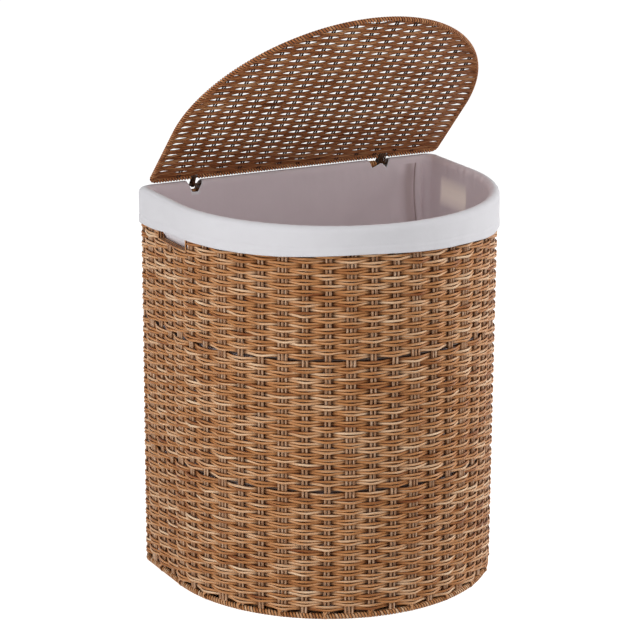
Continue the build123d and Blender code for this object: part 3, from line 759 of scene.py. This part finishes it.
lid_values = {
    "Courses": 1, "Course pitch": lid_course_pitch, "Swing": 2.35 * mm, "Front spread": 0.1 * mm,
    "Back spread": 0.1 * mm, "Back swell": 0.0, "Painted recess shade": 0.0, "Flatness": 1.0, "Unevenness": 1.9 * mm,
    "Width": lid_strand_w, "Thickness": lid_strand_t, "Sides": 6, "Seed": 2.0, "Finish": lid_strand}
lid_weaving = settle("lid_strands", woven, line_mesh("lid_strands", lid_lines()), lid_values)
finish_piece(to_lid_place(lid_weaving), "lid", ["lid_weave"])


def lid_outline(lengths):
    """The lid's rim wire, level, with its straight side along the hinge."""
    return half_moon(lid_round, lid_straight_mid, 0.0, lid_corner - lid_rim_r, lengths)


def lid_rim_line(start, end, phase):
    """A stretch of the rim wire between two lengths along it."""
    count = max(int((end - start) / path_step), 4)
    points, outs, _ = lid_outline(np.linspace(start, end, count))
    return strand_line(points, outs, phase)


lid_rim_total = lid_outline([0.0])[2]
lid_back_start = lid_rim_total - math.pi / 2 * (lid_corner - lid_rim_r) - 2 * (lid_half - lid_corner)
lid_at = [lid_back_start + x + lid_half - lid_corner for x in lid_loop_x]
# the coil runs between these distances from the middles of the two hinge loops
left_after, left_before, right_clear = -3.4 * mm, 12.6 * mm, 8 * mm
lid_stretches = (
    (lid_at[0] + left_after, lid_at[1] - right_clear),
    (lid_at[1] + right_clear - lid_rim_total, lid_at[0] - left_before))
lid_coil = coil(
    "lid_rim_coil",
    [lid_rim_line(start, end, phase) for phase in (0.0, 0.5) for start, end in lid_stretches],
    {"Radius": 2.75 * mm, "Lead": 8.6 * mm, "Steps": 12, "Width": 3.3 * mm, "Thickness": 1.5 * mm,
     "Sides": 6},
    "lid", lid_strand, ["lid_binding"])
to_lid_place(lid_coil)

# ---------------------------------------------------------------- hinge loops, hand-hole edges and stake ends
top_hoop_r = 2 * mm
hoop_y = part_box("top_hoop")[1].y - top_hoop_r
loop_wire_r = 2.15 * mm             # the lid's wire and the top hoop, with room round them
steps_per_lap = 26


def wind_loop(side_name, middle_x, across_x, turns, strand, loose_end):
    """A strand wound round the top hoop and the lid's wire together, with one loose end over it.
    across_x and loose_end are in millimetres from the middle of the loop on the top hoop."""
    hoop, wire = Vector((0, hoop_y, rim_z)), Vector((0, pivot.y, pivot.z))
    reach = (wire - hoop).length
    up = (wire - hoop).normalized()
    side = Vector((0, up.z, -up.y))
    radius = loop_wire_r + strand / 2
    lap = 2 * reach + 2 * math.pi * radius
    x_from, x_to = (middle_x + x * mm for x in across_x)
    points, outs = [], []
    steps = int(turns * steps_per_lap)
    for i in range(steps + 1):
        s = (i / steps_per_lap * lap) % lap
        if s < reach:
            out, p = side, hoop + up * s + side * radius
        elif s < reach + math.pi * radius:
            angle = (s - reach) / radius
            out = side * math.cos(angle) + up * math.sin(angle)
            p = wire + out * radius
        elif s < 2 * reach + math.pi * radius:
            out, p = -side, wire - up * (s - reach - math.pi * radius) - side * radius
        else:
            angle = (s - 2 * reach - math.pi * radius) / radius
            out = -side * math.cos(angle) - up * math.sin(angle)
            p = hoop + out * radius
        points.append((x_from + (x_to - x_from) * i / steps, p.y, p.z))
        outs.append(tuple(out))
    loose = np.array(loose_end) * mm + [middle_x, hoop_y, rim_z]
    loose_out = np.tile([[0.0, -0.7, 0.7]], (len(loose), 1))
    lines = [
        strand_line(np.array(points), np.array(outs), 3.0, across=(1, 0, 0)),
        strand_line(loose, loose_out, 5.0, across=(1, 0, 0))]
    node = "hinge_loop_" + side_name
    piece = settle(node + "_strand", laid, line_mesh(node + "_strand", lines), {
        "Width": strand * 1.05, "Thickness": strand * 0.9, "Sides": 8, "Finish": loop_strand})
    return finish_piece(piece, "basket", [node])


left_end = [(-10, -4.4, 5.5), (-6.5, -4.6, 1.0), (-3.5, -4.4, -4.0), (-1.5, -3.4, -7.5)]
right_end = [(-7, -4.0, 2), (-2, -5.0, -1.0), (3.5, -5.0, -5.0), (6, -3, -6.5)]
wind_loop("left", left_x, (-10.4, -5.4), 2.4, 1.9 * mm, left_end)
wind_loop("right", right_x, (-6.4, 5.6), 4.4, 2.2 * mm, right_end)


def wall_path(columns_at, heights, inset):
    """A path on the wall from stake columns and heights."""
    total = wall_line(inset, [0.0])[2]
    points, outs, _ = wall_line(inset, np.array(columns_at) * total / columns)
    points[:, 2] = heights
    return points, outs


def edge_hand_hole(side):
    """Strands laid round a hand hole, over the cut ends of the weave."""
    low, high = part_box("handle_edge_" + side)
    first, last = {"right": (0.30, 2.70), "left": (26.13, 28.80)}[side]
    bottom, top = low.z + 1.6 * mm, high.z - 1.6 * mm
    turn = 4 * mm                    # the strands round the hole's corners over this height
    level_steps, upright_steps = 20, 6
    rising = np.linspace(bottom + turn, top - turn, upright_steps)
    falling = np.linspace(top - turn, bottom + turn, upright_steps)
    heights = [bottom] * level_steps + list(rising) + [top] * level_steps + list(falling)
    lines = []
    for i, inset in enumerate((2.2, 5.8, 9.4)):
        end = last + 0.08 * i
        there, back = np.linspace(first, end, level_steps), np.linspace(end, first, level_steps)
        at = list(there) + [end] * upright_steps + list(back) + [first] * upright_steps
        points, outs = wall_path(at, heights, inset * mm)
        lines.append(strand_line(points, outs, 11.0 + i, closed=True))
    name = f"handle_edge_{side}_strands"
    piece = settle(name, laid, line_mesh(name, lines), {
        "Width": 3.2 * mm, "Thickness": 3.4 * mm, "Sides": 7, "Finish": basket_strand})
    finish_piece(piece, "basket", ["handle_edge_" + side])


edge_hand_hole("right")
edge_hand_hole("left")


def tie_stake_ends():
    """At every second column the two stakes cross in front of the base hoop and pass under it."""
    lines = []
    for column in range(1, columns, 2):
        for sign in (-1, 1):
            sideways = np.array([-3.2, -2.6, -0.6, 1.4, 2.4]) * sign * mm / stake_pitch
            heights = np.array([17.0, 13.0, 9.3, 5.0, 1.9]) * mm
            ahead = np.array([4.6, 3.2, 1.2, 0.7 + 0.5 * sign, 2.6]) * mm
            points, outs = [], []
            for step, height, inset in zip(sideways, heights, ahead):
                p, o = wall_path([column + step], [height], inset)
                points.append(p[0])
                outs.append(o[0])
            lines.append(strand_line(np.array(points), np.array(outs), float(column)))
    piece = settle("stake_ends", laid, line_mesh("stake_ends", lines), {
        "Width": 3.0 * mm, "Thickness": 2.2 * mm, "Sides": 7, "Finish": basket_strand})
    finish_piece(piece, "basket", [])


tie_stake_ends()


def weave_base():
    """The floor of the basket, woven over its ribs."""
    low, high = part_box("base_weave")
    lines = []
    centre = (low.z + high.z) / 2
    reach_y = high.y - low.y
    count = int(reach_y / base_course_pitch)
    for number in range(count):
        y = low.y + (number + 0.5) * reach_y / count
        across_x = high.x if y > arc_centre_y else math.sqrt(max(high.x**2 - (arc_centre_y - y) ** 2, 0))
        across_x = max(across_x - 1 * mm, 10 * mm)
        x = np.arange(-across_x, across_x, 6.5 * mm)
        points = np.stack([x, np.full_like(x, y), np.full_like(x, centre)], axis=1)
        lines.append(strand_line(points, (0, 0, 1), x / base_rib_pitch, float(number), (0, 1, 0)))
    piece = settle("base_strands", woven, line_mesh("base_strands", lines), {
        "Courses": 1, "Course pitch": base_course_pitch, "Swing": 2.9 * mm, "Front spread": 0.1 * mm,
        "Back spread": 0.1 * mm, "Back swell": 0.0, "Painted recess shade": 0.0, "Flatness": 1.38, "Unevenness": 1.0 * mm,
        "Width": 3.6 * mm, "Thickness": 2.0 * mm, "Sides": 6, "Seed": 4.0, "Finish": basket_strand})
    finish_piece(piece, "basket", ["base_weave"])


weave_base()

# ---------------------------------------------------------------- cloth liner
hem_side_z = 510 * mm               # the cuff's lower edge at the sides and the back
hem_front_lift = 7 * mm             # it hangs this much higher over the front,
hem_front_bow = 5.5 * mm            # and a little more on the -X side of the middle
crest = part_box("liner_cuff")[1].z - 0.7 * mm
shoulder = crest - 9 * mm
liner_floor_low, liner_floor_top = (corner.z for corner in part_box("liner_floor"))
inner_inset = 13.45 * mm
outer_inset = -0.9 * mm
hem_depth = 11 * mm
bag_corner = 14 * mm
corner_round = 8 * mm               # the bag draws in towards its floor
cloth_thickness = 1.0 * mm
# the stretch of cloth, in stake columns, that the left hand hole shows with less painted shade, and that
# the right one lights with painted light. The right one lies 21 to 33 mm further forward than its hole.
hole_cloth = {"right": (0.75, 3.25), "left": (26.1, 28.83)}


def smooth_step(x, low, high):
    """0 below low, 1 above high, and a smooth rise between them."""
    t = np.clip((x - low) / (high - low), 0, 1)
    return t * t * (3 - 2 * t)


def ridge(x, centre, width):
    """1 at the centre, falling away smoothly on both sides."""
    return np.exp(-(((x - centre) / width) ** 2))


def liner_rows():
    """Rows up the inside of the bag, over the rim and down to the hem. Each is its part, its inset, and its
    height, or on the cuff its share of the way down."""
    rows = [("bag", inner_inset, z) for z in np.linspace(liner_floor_top + 0.5 * mm, shoulder - 2 * mm, 56)]
    middle, half = (inner_inset + outer_inset) / 2, (inner_inset - outer_inset) / 2
    for i in range(13):
        a = math.pi * i / 12
        rows.append(("crest", middle + half * math.cos(a),
            shoulder + (crest - shoulder) * math.sin(a) ** 0.85))
    # the rows are closest at the stitching of the hem
    shares = np.concatenate([np.linspace(0.05, 0.72, 12), np.linspace(0.745, 0.80, 5),
        np.linspace(0.84, 1.0, 5)])
    return rows + [("cuff", outer_inset, share) for share in shares]


def gathers(angle, phase, drift):
    """Small puckers where the cloth is drawn over the rim."""
    fine = np.sin(angle * 96 + phase[7] + 1.4 * np.sin(angle * 11) + drift)
    return fine * 0.5 + np.sin(angle * 61 + phase[8]) * 0.5


def cuff_shift(angle, phase, level, above_hem):
    """How far the cuff lies inwards: ripples, the hem turned up and the groove of its stitching."""
    ripple = np.sin(angle * 31 + phase[4]) * 0.5 + np.sin(angle * 52 + phase[5]) * 0.35
    ripple = ripple + np.sin(angle * 17 + phase[6]) * 0.5
    turned_up = smooth_step(-above_hem, -hem_depth - 0.6 * mm, -hem_depth + 0.6 * mm) * 0.45 * mm
    stitch_groove = ridge(above_hem, hem_depth, 0.9 * mm) * 0.5 * mm
    return -np.maximum(ripple, -0.6) * 0.45 * mm * level - turned_up + stitch_groove


def bag_shift(angle, phase, level, right_side):
    """How far the bag's wall lies inwards: slow folds, and puckers near the rim."""
    slack = min((shoulder - level) / (120 * mm), 1.0)
    waves = ((9, 1.0), (14, 0.8), (23, 0.55), (37, 0.35))
    fold = sum(np.sin(angle * k + phase[i] + 4 * level) * a for i, (k, a) in enumerate(waves))
    shift = np.maximum(0.6 + 0.6 * fold, 0) * slack * 1.6 * mm
    near_rim = smooth_step(level, shoulder - 22 * mm, shoulder - 2 * mm)
    return shift + gathers(angle, phase, level * 90) * near_rim * (0.1 + 0.7 * right_side) * mm


def seam_shift(back, level):
    """The seam near the right back corner with a fold of cloth on each side of it, one more fold further
    forward, and how dark the painted shade in its creases is."""
    settled = 1 - smooth_step(level, shoulder - 6 * mm, shoulder + 1 * mm)
    seam = 18 * mm + 3.5 * mm * math.sin((level - 0.47) * 34)
    from_seam = back - seam
    # painted shade: dark along the seam line and over the fold beside it
    crease = 0.9 * ridge(from_seam, 0, 1.0 * mm) + 0.42 * ridge(from_seam, 10 * mm, 8 * mm)
    bumps = [
        settled * 4.6 * mm * ridge(from_seam, -7.5 * mm, 4.2 * mm),
        settled * 2.6 * mm * ridge(from_seam, 7 * mm, 5.0 * mm),
        -settled * 1.2 * mm * ridge(from_seam, 0, 1.3 * mm),
        settled * 2.2 * mm * ridge(back, 48 * mm, 9 * mm)]
    return bumps, crease


def over_hole(lengths, level, side):
    """How much of the cloth lies in the stretch that hole_cloth gives a hand hole, at the hole's height:
    where less shade is painted at the left hole and light is painted at the right one, and where it swells
    outwards. The swelling keeps clear of the hole's foot and top, where the wound edge is."""
    first, end = (column * loop_total / columns for column in hole_cloth[side])
    over = smooth_step(lengths, first, first + 6 * mm) * (1 - smooth_step(lengths, end - 3 * mm, end))
    foot = smooth_step(level, hole_low, hole_low + 5 * mm)
    top = smooth_step(level, hole_high - 5 * mm, hole_high)
    over = over * float(foot * (1 - top))
    swell = over * float(smooth_step(level, hole_low + 3 * mm, hole_low + 8 * mm))
    swell = swell * (1 - float(smooth_step(level, hole_high - 16 * mm, hole_high - 6 * mm)))
    return over, swell


def make_liner():
    """The bag and its cuff as one cloth. Returns it with its flat width and length. Its lengths run as
    half_moon's do, so the middle of the front is near 480 mm."""
    rows = liner_rows()
    fine_from = loop_total - math.pi / 4 * (corner_r - wall_mid) - 60 * mm
    coarse, fine = np.arange(0, fine_from, 3 * mm), np.arange(fine_from, loop_total - 0.5 * mm, 1 * mm)
    lengths = np.concatenate([coarse, fine])
    n = len(lengths)
    share = lengths / loop_total
    inner = (half_width - inner_inset, side_straight - inner_inset, back_face - inner_inset, bag_corner)
    inner_total = half_moon(*inner, [0.0])[2]
    inner_points, inner_outs, _ = half_moon(*inner, share * inner_total)
    outer_points, outer_outs, _ = wall_line(outer_inset, share * wall_line(outer_inset, [0.0])[2])
    phase = np.random.default_rng(5).uniform(0, 2 * math.pi, 12)
    angle = lengths / loop_total * 2 * math.pi
    over_front = smooth_step(lengths, 275 * mm, 400 * mm) - smooth_step(lengths, 830 * mm, 920 * mm)
    hem = hem_side_z + hem_front_lift * over_front + hem_front_bow * ridge(lengths, 540 * mm, 95 * mm)
    back = inner_total * (1 - share) - math.pi / 4 * bag_corner
    right_side = smooth_step(lengths, 10 * mm, 60 * mm) * (1 - smooth_step(lengths, 240 * mm, 330 * mm))
    vertices, cuts, shades = [], [], {"painted_inside_shade": [], "crease": [], "lit": []}
    run, last = 0.0, None
    middle_inset = (inner_inset + outer_inset) / 2
    for part, inset, level in rows:
        inside_shade_amount, crease, lit = np.zeros(n), np.zeros(n), np.zeros(n)
        height = np.full(n, level)
        mean_height = level
        if part == "cuff":
            height = shoulder - (shoulder - hem) * level
            shift = cuff_shift(angle, phase, level, height - hem)
            mean_height = shoulder - 40 * mm * level
        elif part == "crest":
            pucker = gathers(angle, phase, 0.0)
            shift = pucker * (0.15 + 0.55 * right_side) * mm
            height = height + pucker * (0.1 + 0.35 * right_side) * mm
            # painted shade and brown reflected light on the inner half of the crest
            inside_shade_amount += smooth_step(inset, middle_inset - 2 * mm, middle_inset + 3 * mm)
        else:
            drawn_in = 1 - smooth_step(level, liner_floor_top, liner_floor_top + 30 * mm)
            inset = inner_inset + corner_round * drawn_in
            shift = bag_shift(angle, phase, level, right_side)
            # crease is the painted shade of the seam and its fold
            bumps, crease = seam_shift(back, level)
            for bump in bumps:
                shift += bump
            # painted shade and brown reflected light over the inside of the bag
            inside_shade_amount += 1.0
            # at the left hand hole less shade is painted, and at the right one a pool of light is painted
            for side in hole_cloth:
                over, swell = over_hole(lengths, level, side)
                if side == "left":
                    inside_shade_amount -= 0.75 * over
                else:
                    lit += 0.75 * over
                shift -= swell * (7.5 if side == "left" else 1.5) * mm
        if last is not None:
            run += math.hypot(inset - last[0], mean_height - last[1])
        last = (inset, mean_height)
        t = min((inner_inset - inset) / (inner_inset - outer_inset), 1.0)
        outs = inner_outs * (1 - t) + outer_outs * t
        points = inner_points * (1 - t) + outer_points * t - outs * (shift[:, None])
        vertices += [(p[0], p[1], h) for p, h in zip(points, height)]
        cuts += [(length, run) for length in lengths]
        for key, values in (("painted_inside_shade", inside_shade_amount), ("crease", crease), ("lit", lit)):
            shades[key] += list(np.clip(values, 0, 1))
    faces = []
    for row in range(len(rows) - 1):
        low, high = row * n, (row + 1) * n
        faces += [(low + i, low + (i + 1) % n, high + (i + 1) % n, high + i) for i in range(n)]
    return cloth_piece("liner_cloth", vertices, faces, cuts, shades, loop_total), loop_total, run


def cloth_piece(name, vertices, faces, cuts, shades, width):
    """A cloth mesh with its flat map and its painted light and shade: shade with brown reflected light inside
    the bag, shade in creases, light from a hand hole.
    """
    mesh = bpy.data.meshes.new(name)
    mesh.from_pydata(vertices, [], faces)
    for key, values in shades.items():
        shade = mesh.attributes.new(key, "FLOAT", "POINT")
        shade.data.foreach_set("value", np.array(values, dtype=np.float32))
    corner_vertex = np.zeros(len(mesh.loops), dtype=np.int32)
    mesh.loops.foreach_get("vertex_index", corner_vertex)
    flat = np.array(cuts, dtype=np.float32)[corner_vertex]
    face_sizes = np.array([len(f) for f in faces])
    face_of_corner = np.repeat(np.arange(len(faces)), face_sizes)
    widest = np.zeros(len(faces))
    np.maximum.at(widest, face_of_corner, flat[:, 0])
    wraps = (widest[face_of_corner] - flat[:, 0]) > width / 2
    flat[wraps, 0] += width
    mesh.uv_layers.new(name="cut").data.foreach_set("uv", flat.ravel())
    mesh.shade_smooth()
    mesh.materials.append(canvas)
    piece = bpy.data.objects.new(name, mesh)
    scene.collection.objects.link(piece)
    return piece


def thicken(piece):
    """Gives a cloth its thickness, half on each side."""
    modifier = piece.modifiers.new("thickness", "SOLIDIFY")
    modifier.thickness = cloth_thickness
    modifier.offset = 0.0


def harden(piece):
    """Applies a piece's modifiers."""
    graph = bpy.context.evaluated_depsgraph_get()
    mesh = bpy.data.meshes.new_from_object(piece.evaluated_get(graph), preserve_all_data_layers=True,
        depsgraph=graph)
    piece.modifiers.clear()
    old = piece.data
    piece.data = mesh
    bpy.data.meshes.remove(old)
    mesh.name = piece.name
    return piece


def notch_cutters():
    """Prisms for the cut-outs that let the hinge loops through the cloth."""
    top = crest + 3 * mm
    left = [(-19.5, top), (-11.5, crest - 15 * mm), (-2.5, crest - 15.5 * mm), (7.5, top)]
    right = [
        (-22.5, top), (-17.5, crest - 10.5 * mm), (-13, crest - 9 * mm), (-3, crest - 5 * mm),
        (0, crest - 5.5 * mm), (6, crest - 12 * mm), (14, top)]
    vertices, faces = [], []
    for x, outline in ((left_x, left), (right_x, right)):
        base, size = len(vertices), len(outline)
        for y in (140 * mm, 200 * mm):
            vertices += [(x + dx * mm, y, z) for dx, z in outline]
        faces.append(tuple(base + i for i in range(size)))
        faces.append(tuple(base + 2 * size - 1 - i for i in range(size)))
        for i in range(size):
            j = (i + 1) % size
            faces.append((base + i, base + size + i, base + size + j, base + j))
    data = bpy.data.meshes.new("notches")
    data.from_pydata(vertices, [], faces)
    cutter = bpy.data.objects.new("notches", data)
    scene.collection.objects.link(cutter)
    return cutter


liner, liner_width, liner_length = make_liner()
thicken(liner)
cutter = notch_cutters()
notch = liner.modifiers.new("notches", "BOOLEAN")
notch.operation = "DIFFERENCE"
notch.object = cutter
notch.solver = "EXACT"
bpy.context.view_layer.update()
harden(liner)
bpy.data.objects.remove(cutter)
finish_piece(liner, "basket", ["liner_sides", "liner_cuff"])


def make_liner_floor():
    """The bottom of the bag, lying on the woven floor a little rumpled."""
    rings = 26
    count = 240
    inset = inner_inset + corner_round + 0.6 * mm
    edge, _, _ = wall_line(inset, np.arange(count) * wall_line(inset, [0.0])[2] / count)
    centre = np.array([0, 0.02, 0])
    level = (liner_floor_low + liner_floor_top) / 2
    vertices, cuts, faces = [], [], []
    for ring in range(rings):
        share = 1 - ring / rings
        ring_points = centre + (edge - centre) * share
        x, y = ring_points[:, 0], ring_points[:, 1]
        rumple = np.sin(x * 38 + 2 * np.sin(y * 21)) * 0.5 + np.sin(y * 47 + 1.5 * np.sin(x * 26)) * 0.5
        lift = np.maximum(rumple, 0) * 2.2 * mm * min(4 * (1 - share) + 0.15, 1.0)
        vertices += [(a, b, level + c) for a, b, c in zip(x, y, lift)]
        cuts += list(zip(x, y))
    vertices.append((centre[0], centre[1], level))
    cuts.append((centre[0], centre[1]))
    for ring in range(rings - 1):
        for i in range(count):
            j = (i + 1) % count
            faces.append((ring * count + j, ring * count + i, (ring + 1) * count + i,
                (ring + 1) * count + j))
    tip = rings * count
    faces += [((rings - 1) * count + (i + 1) % count, (rings - 1) * count + i, tip) for i in range(count)]
    # painted shade and brown reflected light over the bag's floor
    shades = {"painted_inside_shade": [0.8] * len(vertices)}
    no_wrap = 10.0                   # the floor's map doesn't go round, so no face on it is this wide
    piece = cloth_piece("liner_floor_cloth", vertices, faces, cuts, shades, no_wrap)
    thicken(piece)
    harden(piece)
    return finish_piece(piece, "basket", ["liner_floor"])


liner_floor = make_liner_floor()

# ---------------------------------------------------------------- materials of the CAD nodes
strand_nodes = ("base_weave", "handle_edge_left", "handle_edge_right", "hinge_loop_left",
    "hinge_loop_right")
for node in cad:
    finish = steel
    if node.startswith("stakes_") or node == "frame_uprights":
        finish = basket_stake
    elif node in ("lid_stakes", "lid_ribs"):
        finish = lid_stake
    elif node.startswith("liner"):
        finish = canvas
    elif node in strand_nodes:
        finish = basket_strand
    for index in range(len(cad[node].data.materials)):
        cad[node].data.materials[index] = finish

# ---------------------------------------------------------------- camera
camera_data = bpy.data.cameras.new("camera")
camera = bpy.data.objects.new("camera", camera_data)
scene.collection.objects.link(camera)
scene.camera = camera
camera_data.sensor_width = 36.0
camera_data.lens = 150.0
camera_data.clip_start, camera_data.clip_end = 0.1, 50.0
azimuth, elevation, roll = math.radians(-28.5), math.radians(17.42), math.radians(0.434)
level_part = math.cos(elevation)
back_vector = Vector((math.sin(azimuth) * level_part, -math.cos(azimuth) * level_part, math.sin(elevation)))
look_at = Vector((0.0, 0.0226, 0.288))
camera_distance = 3.802
camera.location = look_at + back_vector * camera_distance
turn = (-back_vector).to_track_quat("-Z", "Y")
camera.rotation_mode = "QUATERNION"
camera.rotation_quaternion = turn @ Matrix.Rotation(roll, 4, "Z").to_quaternion()
camera_data.shift_x, camera_data.shift_y = -0.0298, 0.0894

# ---------------------------------------------------------------- floor, light and background
def seen_rays(tree):
    """1 for the rays that show a surface: from the camera, off a gloss and through a clear one."""
    path = add(tree, "ShaderNodeLightPath")
    seen = add(tree, "ShaderNodeMath", {0: (path, "Is Camera Ray"), 1: (path, "Is Glossy Ray")},
        operation="MAXIMUM")
    return add(tree, "ShaderNodeMath", {0: seen, 1: (path, "Is Transmission Ray")}, operation="MAXIMUM")


def background():
    """A plain white background, and a weak even fill."""
    world = bpy.data.worlds.new("studio")
    world.use_nodes = True
    tree = world.node_tree
    tree.nodes.clear()
    seen_all = seen_rays(tree)
    fill = add(tree, "ShaderNodeBackground", {"Color": (1.0, 1.0, 1.0, 1.0), "Strength": 0.20})
    white = add(tree, "ShaderNodeBackground", {"Color": (1.0, 1.0, 1.0, 1.0), "Strength": 1.0})
    mixed = add(tree, "ShaderNodeMixShader", {0: seen_all, 1: fill, 2: white})
    add(tree, "ShaderNodeOutputWorld", {"Surface": mixed})
    scene.world = world


def floor():
    """A plain pale floor that shows white like the background."""
    data = bpy.data.meshes.new("floor")
    data.from_pydata([(-6, -6, 0), (6, -6, 0), (6, 6, 0), (-6, 6, 0)], [], [(0, 1, 2, 3)])
    plane = bpy.data.objects.new("floor", data)
    scene.collection.objects.link(plane)
    material, tree = new_material("pale_floor")
    seen_all = seen_rays(tree)
    # the glow that shows the floor white stops under the basket, where it is dark
    place = add(tree, "ShaderNodeTexCoord")
    spot = add(tree, "ShaderNodeSeparateXYZ", {0: (place, "Object")})
    forward = add(tree, "ShaderNodeMath", {0: (spot, "Y"), 1: arc_centre_y}, operation="SUBTRACT")
    bowed = add(tree, "ShaderNodeMath", {0: forward, 1: 0.0}, operation="MINIMUM")
    from_centre = add(tree, "ShaderNodeCombineXYZ", {"X": (spot, "X"), "Y": bowed})
    distance = add(tree, "ShaderNodeVectorMath", {0: from_centre}, operation="LENGTH")
    outside = add(tree, "ShaderNodeMath", {0: (distance, "Value"), 1: half_width - 8 * mm},
        operation="GREATER_THAN")
    behind = add(tree, "ShaderNodeMath", {0: (spot, "Y"), 1: back_face - 8 * mm}, operation="GREATER_THAN")
    clear = add(tree, "ShaderNodeMath", {0: outside, 1: behind}, operation="MAXIMUM")
    shown = add(tree, "ShaderNodeMath", {0: seen_all, 1: clear}, operation="MULTIPLY")
    strength = add(tree, "ShaderNodeMath", {0: shown, 1: 0.85}, operation="MULTIPLY")
    matt = add(tree, "ShaderNodeBsdfDiffuse", {"Color": linear("#F4F4F4")})
    glow = add(tree, "ShaderNodeEmission", {"Color": (1.0, 1.0, 1.0, 1.0), "Strength": strength})
    both = add(tree, "ShaderNodeAddShader", {0: matt, 1: glow})
    add(tree, "ShaderNodeOutputMaterial", {"Surface": both})
    data.materials.append(material)


def lamp(name, place, aim, size, power):
    """A rectangular soft light, aimed at a point."""
    data = bpy.data.lights.new(name, "AREA")
    data.shape = "RECTANGLE"
    data.size, data.size_y = size
    data.energy = power
    made = bpy.data.objects.new(name, data)
    scene.collection.objects.link(made)
    made.location = place
    made.rotation_mode = "QUATERNION"
    made.rotation_quaternion = (Vector(aim) - Vector(place)).to_track_quat("-Z", "Y")


background()
floor()
lamp("high_softbox", (0.2, -2.1, 2.2), (0, 0.1, 0.45), (1.5, 1.2), 17.5)
lamp("overhead_softbox", (-0.3, -1.1, 2.7), (0, -0.1, 0.5), (1.0, 1.0), 5)
lamp("left_softbox", (-2.6, -0.3, 1.0), (0, 0, 0.3), (1.2, 1.8), 31)
lamp("right_softbox", (2.5, -0.6, 1.0), (0, 0, 0.3), (1.2, 1.8), 31)
scene.view_settings.view_transform = "Standard"
